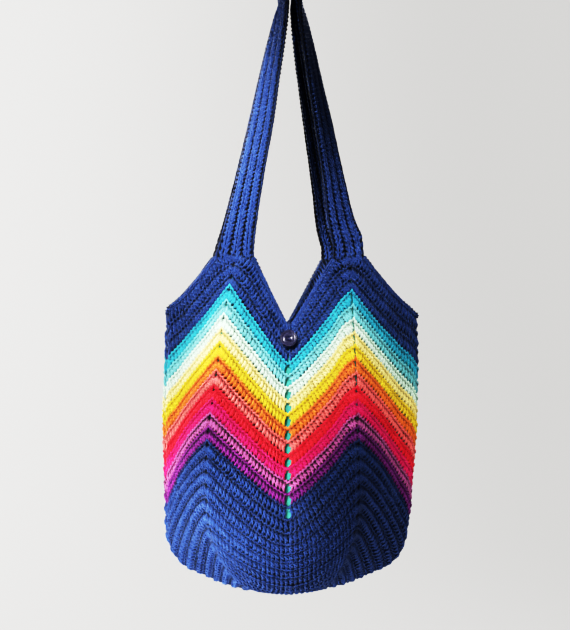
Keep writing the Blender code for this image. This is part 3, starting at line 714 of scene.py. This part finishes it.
def lining():
    us = np.linspace(0, 8, 113)[:-1]
    rs = np.concatenate([np.linspace(1.75, 25, 38), [25.8, 26.5, 27.0]])
    u, r = np.meshgrid(us, rs, indexing="ij")
    fold = 0.5 * np.sin(9.0 * u + 0.35 * r) + 0.35 * np.sin(17.0 * u - 0.5 * r)
    away = np.abs(np.mod(u, 2.0) - 1.0) / 0.14
    stand = 6.0 * np.exp(-(away**2)) * np.interp(r, (2, 4, 15, 19), (0, 1, 1, 0))
    base = surface(u, r) - outward(u, r, 21.5, 2.0) * (4.6 + 0.5 * fold + stand)[..., None]
    n, k = u.shape
    verts = (base * MM).reshape(-1, 3)
    faces = []
    for i in range(n):
        j = (i + 1) % n
        for c in range(k - 1):
            faces.append((i * k + c, i * k + c + 1, j * k + c + 1, j * k + c))
    mesh = bpy.data.meshes.new("lining_cloth")
    mesh.from_pydata(verts.tolist(), [], faces)
    bm = bmesh.new()
    bm.from_mesh(mesh)
    bmesh.ops.remove_doubles(bm, verts=bm.verts, dist=2e-4)
    bmesh.ops.recalc_face_normals(bm, faces=bm.faces)
    bm.to_mesh(mesh)
    bm.free()
    mesh.polygons.foreach_set("use_smooth", np.ones(len(mesh.polygons), dtype=bool))
    ob = bpy.data.objects.new("lining_cloth", mesh)
    bpy.context.collection.objects.link(ob)
    ob.data.materials.append(cloth_material("teal_cotton", (0.04, 0.25, 0.20)))
    solid = ob.modifiers.new("thickness", "SOLIDIFY")
    solid.thickness = 0.0006
    solid.offset = 0
    return ob


cloth = lining()
piece(cloth, "teal_lining", "lining")
# ------------------------------------------------------------------ handles
def handle_stops(back):
    radius = HOOK_RADIUS + HANDLE_THICK / 2
    stops = [(x, y, z, a, 0) for x, y, z, a in LEG_LEFT]
    for i in range(0, 9):
        b = math.pi * (1 - i / 8)
        stops.append(
            (radius * math.cos(b), -24.0, -HOOK_RADIUS + radius * math.sin(b), 90, 1)
        )
    return stops + [(x, y, z, a, 2) for x, y, z, a in reversed(LEG_RIGHT)]


def handle_grid(back):
    """Rows of points across the handle, their outward directions and the run in mm."""
    stops = handle_stops(back)
    pos = np.array([s[:3] for s in stops])
    dist = np.concatenate([[0], np.cumsum(np.linalg.norm(np.diff(pos, axis=0), axis=1))])
    centre = curve_through([(d, *s[:3]) for d, s in zip(dist, stops)])
    wide = []
    for x, y, z, a, part in stops:
        c, s = math.cos(math.radians(a)), math.sin(math.radians(a))
        wide.append((c if part == 0 else -c if part == 2 else 0.0, -s, 0.0))
    width = curve_through([(d, *w) for d, w in zip(dist, wide)])
    marks = np.concatenate([
        np.linspace(0, dist[7], 60)[:-1], np.linspace(dist[7], dist[17], 24)[:-1],
        np.linspace(dist[17], dist[-1], 60),
    ])
    vs = np.linspace(-1, 1, 9)
    rows, outs = [], []

    def foot(leg, r=0.0):
        share = (7 + vs * CORNER_T, 1 - vs * CORNER_T)[leg]
        if back:
            share = (5 - vs * CORNER_T, 3 + vs * CORNER_T)[leg]
        return surface(share, r + 0 * vs), outward(share, r + 0 * vs)

    for m in marks:
        c = centre(m)
        along = centre(min(m + 1, dist[-1])) - centre(max(m - 1, 0))
        along /= np.linalg.norm(along)
        w = width(m)
        w = w - along * (w @ along)
        w /= np.linalg.norm(w)
        n = np.cross(w, along)
        row = c + np.outer(vs, w) * HANDLE_WIDTH / 2
        out = np.broadcast_to(n, row.shape).copy()
        if back:
            row[:, 1] *= -1
            out[:, 1] *= -1
        rows.append(row)
        outs.append(out)
    # the ends run a little way down into the rim
    rows = [foot(0, 0.4)[0], foot(0)[0]] + rows + [foot(1)[0], foot(1, 0.4)[0]]
    outs = [foot(0, 0.4)[1], foot(0)[1]] + outs + [foot(1)[1], foot(1, 0.4)[1]]
    rows, outs = np.array(rows), np.array(outs)
    run = np.concatenate(
        [[0], np.cumsum(np.linalg.norm(np.diff(rows[:, 4], axis=0), axis=1))]
    )
    return run - run[1], vs, rows, outs


def handle_point(grid, m, v, h):
    run, vs, rows, outs = grid
    shape = np.broadcast(m, v, h).shape
    m, v, h = (np.broadcast_to(x, shape).ravel() for x in (m, v, h))
    m = np.clip(m, run[0], run[-1])
    i = np.clip(np.searchsorted(run, m) - 1, 0, len(run) - 2)
    fm = ((m - run[i]) / (run[i + 1] - run[i]))[:, None]
    x = (np.clip(v, -1.08, 1.08) + 1) / 2 * (len(vs) - 1)
    j = np.clip(x.astype(int), 0, len(vs) - 2)
    fv = (x - j)[:, None]

    def mix(a):
        return (
            (a[i, j] * (1 - fv) + a[i, j + 1] * fv) * (1 - fm)
            + (a[i + 1, j] * (1 - fv) + a[i + 1, j + 1] * fv) * fm
        )

    p, n = mix(rows), mix(outs)
    n /= np.linalg.norm(n, axis=-1, keepdims=True)
    return (p + n * h[:, None]).reshape(*shape, 3), n.reshape(*shape, 3)


# A handle has three ribs with grooves between them. Each rib is a column of chains along its
# crest, and on both flanks the legs of the stitches slant down into the grooves.
RIBS = (-14.6, 0.0, 14.6)          # mm from the middle of the handle
CREST = (
    (-0.42, 0.3, 0.8, 0.8), (0.02, 1.8, 3.2, 1.1), (0.50, 2.3, 3.5, 1.18), (0.95, 1.2, 0.9, 0.85),
)
FLANK = (
    (-0.25, 2.6, 1.6, 0.9), (0.15, 4.0, 2.5, 1.15), (0.50, 5.3, 1.2, 1.15), (0.80, 6.4, -1.8, 0.95),
)
FLANK_LOW = ((0.25, 3.4, 0.2, 0.9), (0.60, 4.6, 0.4, 1.0), (1.0, 6.2, -2.0, 0.9))
CORE = np.linspace(-0.93, 0.93, 15)
HANDLE_PITCH = 6.2


def strap(name, back):
    grid = handle_grid(back)
    yarn = Yarn(name)
    total = grid[0][-2]
    n = int(round(total / HANDLE_PITCH))
    pitch = total / n
    first = int((-grid[0][0]) / pitch)
    start = (np.arange(-first, n + first) + 0.5) * pitch
    count = len(start)
    # the chains point up on both legs, so they turn over at the hook
    flip = np.where(start < total / 2, 1.0, -1.0)[:, None]
    half = HANDLE_WIDTH / 2

    def strand(a, v, h, thick, side, sides=4):
        jit = rng.normal(0, 1, (count, 3)) * np.array([0.025, 0.008, 0.1])
        m = start[:, None] + pitch * flip * (np.asarray(a) - 0.3 + jit[:, 0:1])
        out = h + jit[:, 2:3] + 0 * m
        p, nrm = handle_point(grid, m, v + jit[:, 1:2] + 0 * m, side * out)
        yarn.add(p, nrm * side, np.asarray(thick) * YARN, sides=sides, height=out)

    for side in (1.0, -1.0):
        for k, middle in enumerate(RIBS):
            for shape in (CREST, FLANK, FLANK_LOW):
                a, b, h, thick = np.array(shape).T
                for turn in (-1.0, 1.0):
                    # the outer flanks roll round the edges
                    roll = 0.5 * b / 3 if turn * middle > 0 else 0.0
                    strand(a + 0.33 * k, (middle + turn * b) / half, h - roll, thick, side,
                           5 if side > 0 and shape is not FLANK_LOW else 3)
    # the edges themselves
    for v in (-1.0, 1.0):
        strand((-0.4, 0.05, 0.55, 1.0), v * np.array([0.95, 1.03, 1.04, 0.96]),
               np.array([-1.0, 0.4, 0.4, -1.0]), (0.9, 1.1, 1.1, 0.9), 1.0)
    # the body of the stitches inside, which closes the fabric
    m = np.concatenate([[grid[0][0]], np.linspace(0, total, n // 2), [grid[0][-1]]])
    for v in CORE:
        p, nrm = handle_point(grid, m, np.full(len(m), v), 0 * m)
        yarn.add([p], [nrm], 1.75, sides=4, height=-2.4)
    return yarn.build(MATS["navy"])


piece(strap("front_handle_stitches", False), "navy_yarn", "front_handle")
piece(strap("back_handle_stitches", True), "navy_yarn", "back_handle")

# ------------------------------------------------------------------ button, thread, loop
BUTTON_X, BUTTON_Y, BUTTON_Z = -6.4, -45.37, -494.4   # middle of its back face
LEAN = math.radians(18)
HOLE_PITCH, HOLE_RADIUS = 2.3, 1.1
SEAT = np.array([BUTTON_X, BUTTON_Y, BUTTON_Z])
AXIS = np.array([0.0, -math.cos(LEAN), math.sin(LEAN)])
UP = np.array([0.0, math.sin(LEAN), math.cos(LEAN)])
FACE = Matrix.Translation(Vector(SEAT) * MM) @ Matrix.Rotation(math.radians(90) - LEAN, 4, "X")


def on_button(x, y, h):
    return SEAT + np.array([x, 0.0, 0.0]) + UP * y + AXIS * h


BUTTON_PROFILE = (
    (0, 1.75), (2.5, 1.75), (4.3, 1.8), (4.9, 2.15), (5.5, 2.55), (6.1, 2.6), (6.6, 2.3),
    (7.2, 1.95), (8.2, 1.95), (9.2, 2.25), (9.9, 2.85), (10.5, 3.3), (11.0, 3.42),
    (11.5, 3.3), (11.95, 2.95), (12.2, 2.4), (12.25, 1.9), (12.1, 1.3), (11.7, 0.8),
    (10.9, 0.4), (9.5, 0.12), (7.0, 0.0), (0, 0.0),
)


def turned(name, profile, steps=72):
    bm = bmesh.new()
    rings = []
    for rad, height in profile:
        if rad == 0:
            rings.append([bm.verts.new((0, 0, height * MM))])
        else:
            rings.append([
                bm.verts.new((
                    rad * MM * math.cos(2 * math.pi * i / steps),
                    rad * MM * math.sin(2 * math.pi * i / steps), height * MM,
                ))
                for i in range(steps)
            ])
    for a, b in zip(rings, rings[1:]):
        for i in range(steps):
            j = (i + 1) % steps
            if len(a) == 1:
                bm.faces.new((a[0], b[i], b[j]))
            elif len(b) == 1:
                bm.faces.new((a[j], a[i], b[0]))
            else:
                bm.faces.new((a[i], b[i], b[j], a[j]))
    bmesh.ops.recalc_face_normals(bm, faces=bm.faces)
    mesh = bpy.data.meshes.new(name)
    bm.to_mesh(mesh)
    bm.free()
    ob = bpy.data.objects.new(name, mesh)
    bpy.context.collection.objects.link(ob)
    return ob


def resin(name):
    """Dark resin with a cloudy colour and a polished face."""
    mat = bpy.data.materials.new(name)
    tree, shader = nodes_of(mat)
    new, link = tree.nodes.new, tree.links.new
    where = new("ShaderNodeTexCoord")
    cloud = new("ShaderNodeTexNoise")
    cloud.inputs["Scale"].default_value = 260.0
    cloud.inputs["Detail"].default_value = 3.0
    link(where.outputs["Object"], cloud.inputs["Vector"])
    ramp = new("ShaderNodeValToRGB")
    ramp.color_ramp.elements[0].color = (0.008, 0.008, 0.018, 1)
    ramp.color_ramp.elements[1].color = (0.032, 0.030, 0.060, 1)
    link(cloud.outputs["Fac"], ramp.inputs["Fac"])
    link(ramp.outputs["Color"], shader.inputs["Base Color"])
    scratch = new("ShaderNodeTexNoise")
    scratch.inputs["Scale"].default_value = 900.0
    link(where.outputs["Object"], scratch.inputs["Vector"])
    rough = new("ShaderNodeMapRange")
    rough.inputs["To Min"].default_value = 0.16
    rough.inputs["To Max"].default_value = 0.3
    link(scratch.outputs["Fac"], rough.inputs["Value"])
    link(rough.outputs["Result"], shader.inputs["Roughness"])
    shader.inputs["Coat Weight"].default_value = 0.12
    shader.inputs["Coat Roughness"].default_value = 0.08
    shader.inputs["IOR"].default_value = 1.52
    shader.inputs["Specular IOR Level"].default_value = 0.2
    return mat


button = turned("coat_button", BUTTON_PROFILE)
button.data.materials.append(resin("dark_resin"))
bm = bmesh.new()
for sx in (-1, 1):
    for sy in (-1, 1):
        bmesh.ops.create_cone(
            bm, cap_ends=True, segments=24, radius1=HOLE_RADIUS * MM,
            radius2=HOLE_RADIUS * MM, depth=8 * MM,
            matrix=Matrix.Translation((sx * HOLE_PITCH * MM, sy * HOLE_PITCH * MM, MM)),
        )
mesh = bpy.data.meshes.new("holes")
bm.to_mesh(mesh)
bm.free()
tool = bpy.data.objects.new("holes", mesh)
bpy.context.collection.objects.link(tool)
cutter = button.modifiers.new("holes", "BOOLEAN")
cutter.operation, cutter.solver, cutter.object = "DIFFERENCE", "EXACT", tool
bpy.context.view_layer.update()
made = bpy.data.meshes.new_from_object(
    button.evaluated_get(bpy.context.evaluated_depsgraph_get())
)
button.modifiers.clear()
button.data = made
bpy.data.objects.remove(tool, do_unlink=True)
made.transform(FACE)
made.shade_smooth()
made.set_sharp_from_angle(angle=math.radians(42))
piece(button, "button_plastic", "button")

thread = Yarn("thread_stitches")
for row in (-1, 1):
    for k in range(3):
        y = row * HOLE_PITCH + (k - 1) * 0.42
        x = HOLE_PITCH
        lift = 0.15 * (k == 1)
        path = [
            on_button(-x, y, 0.4), on_button(-x + 0.05, y, 2.1 + lift),
            on_button(-x + 0.7, y, 2.55 + lift), on_button(0, y, 2.65 + lift),
            on_button(x - 0.7, y, 2.55 + lift), on_button(x - 0.05, y, 2.1 + lift),
            on_button(x, y, 0.4),
        ]
        thread.add([path], [[AXIS] * 7], 0.27, sides=8)
turns = np.linspace(0, 2 * np.pi * 9, 9 * 14)
reach = np.linspace(-0.6, -10.2, len(turns))
round_ = [
    on_button(1.56 * (h / -11.7) + 1.35 * math.cos(a), 1.35 * math.sin(a), h)
    for a, h in zip(turns, reach)
]
thread.add([round_], [[AXIS] * len(round_)], 0.62, sides=8)
piece(thread.build(yarn_material("navy_thread", (0.012, 0.02, 0.10), rough=0.6)), "sewing_thread", "button_thread")

RIM = surface(np.array([0.0]), np.array([0.0]))[0]
BACK_RIM = surface(np.array([4.0]), np.array([0.25]))[0]
by, bz = BACK_RIM[1] - FABRIC / 2 - 0.5, BACK_RIM[2]
top = RIM[2] + 9.2
half = [(1.35, by, bz), (1.35, by - 2.2, bz + 0.6), (1.35, by - 7, bz + 4.0),
        (1.35, by - 14, top - 1.5), (1.35, by - 24, top), (1.35, RIM[1] + 14, top + 0.4),
        (1.35, RIM[1] + 5, top + 0.3), (1.35, RIM[1], top), (1.35, RIM[1] - 4.2, top - 1.2)]
under = [(1.8, 10.6, -2.0), (2.4, 7.5, -2.3), (3.0, 4.0, -2.6), (3.3, 0.5, -2.8),
         (3.1, -2.0, -2.8), (2.0, -3.4, -2.8)]
route = [np.array([RIM[0] - a, y, z]) for a, y, z in half]
route += [on_button(-a, y, h) for a, y, h in under] + [on_button(0, -4.0, -2.8)]
route += [on_button(a, y, h) for a, y, h in reversed(under)]
route += [np.array([RIM[0] + a, y, z]) for a, y, z in reversed(half)]
route = np.array(route)
far = np.concatenate([[0], np.cumsum(np.linalg.norm(np.diff(route, axis=0), axis=1))])
along = curve_through(np.column_stack([far, route]))
loop = Yarn("loop_chain")
links = int(far[-1] / 2.3)
for strand in (0, 1):
    for k in range(links):
        m = (k + np.array([-0.25, 0.2, 0.75, 1.25])) * far[-1] / links
        m = np.clip(m, 0, far[-1])
        p = along(m)
        t = along(np.minimum(m + 0.5, far[-1])) - along(np.maximum(m - 0.5, 0))
        t /= np.linalg.norm(t, axis=1, keepdims=True)
        side = np.cross(t, np.array([0.0, 0.35, 1.0]))
        side /= np.linalg.norm(side, axis=1, keepdims=True)
        out = np.cross(side, t)
        s = (1 if strand else -1) * np.array([0.1, 0.42, 0.5, 0.1])
        h = np.array([-0.35, 0.15, 0.35, 0.3])
        loop.add([p + side * s[:, None] + out * h[:, None]], [out], [0.42, 0.55, 0.55, 0.42], sides=6)
piece(loop.build(MATS["navy"]), "navy_yarn", "button_loop")


# ------------------------------------------------------------------ camera
AZ, EL = math.radians(5.5), math.radians(1.5)
aim = Vector((math.sin(AZ) * math.cos(EL), math.cos(AZ) * math.cos(EL), -math.sin(EL)))
target = Vector((-0.007, 0.0, -0.46286))
cam = bpy.data.cameras.new("camera")
cam.lens, cam.sensor_width = 72.0, 36.0
camera = bpy.data.objects.new("camera", cam)
camera.location = target - aim * 1.8
camera.rotation_euler = aim.to_track_quat("-Z", "Y").to_euler()
bpy.context.collection.objects.link(camera)
bpy.context.scene.camera = camera

# ------------------------------------------------------------------ stage and light
FLOOR_Z, WIDE = -1.5, 6.0
LIGHT = 1.28
profile = [(0.0, FLOOR_Z), (3.0, FLOOR_Z)]
for i in range(1, 13):
    a = math.radians(90 * i / 12)
    profile.append((3.0 + 3.0 * math.sin(a), FLOOR_Z + 3.0 * (1 - math.cos(a))))
profile.append((WIDE, 6.0))
bm = bmesh.new()
rings = []
for rad, z in profile:
    if rad == 0:
        rings.append([bm.verts.new((0, 0, z))])
    else:
        rings.append([
            bm.verts.new((rad * math.cos(math.tau * i / 96), rad * math.sin(math.tau * i / 96), z))
            for i in range(96)
        ])
for a, b in zip(rings, rings[1:]):
    for i in range(96):
        j = (i + 1) % 96
        bm.faces.new((a[0], b[i], b[j]) if len(a) == 1 else (a[i], b[i], b[j], a[j]))
mesh = bpy.data.meshes.new("floor")
bmesh.ops.recalc_face_normals(bm, faces=bm.faces)
bm.to_mesh(mesh)
bm.free()
mesh.polygons.foreach_set("use_smooth", np.ones(len(mesh.polygons), dtype=bool))
floor = bpy.data.objects.new("floor", mesh)
bpy.context.collection.objects.link(floor)
pale = bpy.data.materials.new("pale_floor")
tree, shader = nodes_of(pale)
shader.inputs["Base Color"].default_value = (0.05, 0.05, 0.05, 1)
shader.inputs["Roughness"].default_value = 0.9
shader.inputs["Specular IOR Level"].default_value = 0.0
# the backdrop glows instead of being lit, with a painted falloff of light from bright at left to darker at right
where = tree.nodes.new("ShaderNodeTexCoord")
split = tree.nodes.new("ShaderNodeSeparateXYZ")
tree.links.new(where.outputs["Object"], split.inputs["Vector"])
painted_falloff = tree.nodes.new("ShaderNodeMapRange")
painted_falloff.interpolation_type = "SMOOTHSTEP"
painted_falloff.inputs["From Min"].default_value = -1.6
painted_falloff.inputs["From Max"].default_value = 1.8
painted_falloff.inputs["To Min"].default_value = 0.76
painted_falloff.inputs["To Max"].default_value = 0.50
tree.links.new(split.outputs["X"], painted_falloff.inputs["Value"])
shader.inputs["Emission Color"].default_value = (1.0, 0.99, 0.97, 1)
tree.links.new(painted_falloff.outputs["Result"], shader.inputs["Emission Strength"])
mesh.materials.append(pale)
floor.visible_diffuse = False
floor.visible_shadow = False

world = bpy.data.worlds.new("room")
world.use_nodes = True
sky = world.node_tree.nodes["Background"]
sky.inputs["Color"].default_value = (0.92, 0.96, 1.0, 1)
sky.inputs["Strength"].default_value = 0.15
bpy.context.scene.world = world


def area(name, where, at, size, energy, spread, color=(1, 1, 1)):
    data = bpy.data.lights.new(name, "AREA")
    data.shape, data.size, data.energy, data.color = "SQUARE", size, energy, color
    data.spread = math.radians(spread)
    lamp = bpy.data.objects.new(name, data)
    lamp.location = where
    lamp.rotation_euler = (Vector(at) - Vector(where)).to_track_quat("-Z", "Y").to_euler()
    lamp.visible_camera = False
    bpy.context.collection.objects.link(lamp)


area("window", (-0.8, -1.3, -0.5), (-0.40, -0.05, -0.78), 0.5, 1.15 * LIGHT, 24)
area("window_low", (-0.8, -1.3, -0.6), (-0.11, -0.05, -0.77), 0.2, 0.50 * LIGHT, 10)
area("window_high", (-0.9, -1.0, 0.1), (-0.14, -0.03, -0.19), 0.2, 0.68 * LIGHT, 14)
area("room", (-0.3, -1.2, 0.15), (0.07, -0.05, -0.46), 0.4, 0.20 * LIGHT, 14)
area("room_low", (-0.3, -1.2, 0.15), (0.07, -0.05, -0.47), 0.4, 0.18 * LIGHT, 14)
area("floor_glow", (0.05, -0.6, -1.45), (0.05, 0.0, -0.90), 0.4, 0.38 * LIGHT, 20)
area("peak", (-0.4, -1.2, 0.2), (-0.01, -0.05, -0.45), 0.25, 0.27 * LIGHT, 11)
area("window_top", (-0.9, -1.1, 0.1), (-0.17, -0.05, -0.44), 0.25, 0.28 * LIGHT, 12)
area("behind", (1.0, 2.3, 0.2), (0.0, 0.05, -0.45), 0.9, 7.0, 60)
area("behind_left", (-1.6, 2.0, 0.2), (0.0, 0.05, -0.45), 0.9, 7.0, 60)

view = bpy.context.scene.view_settings
view.view_transform = "Standard"
view.look = "None"
view.use_curve_mapping = True
response = view.curve_mapping.curves[3]
response.points[0].location = (0.0, 0.0)
response.points[1].location = (1.0, 0.93)
for x, y in (
    (0.03, 0.008), (0.06, 0.022), (0.1, 0.052), (0.15, 0.11), (0.22, 0.22), (0.32, 0.41),
    (0.45, 0.62), (0.6, 0.76), (0.8, 0.87),
):
    response.points.new(x, y)
view.curve_mapping.update()
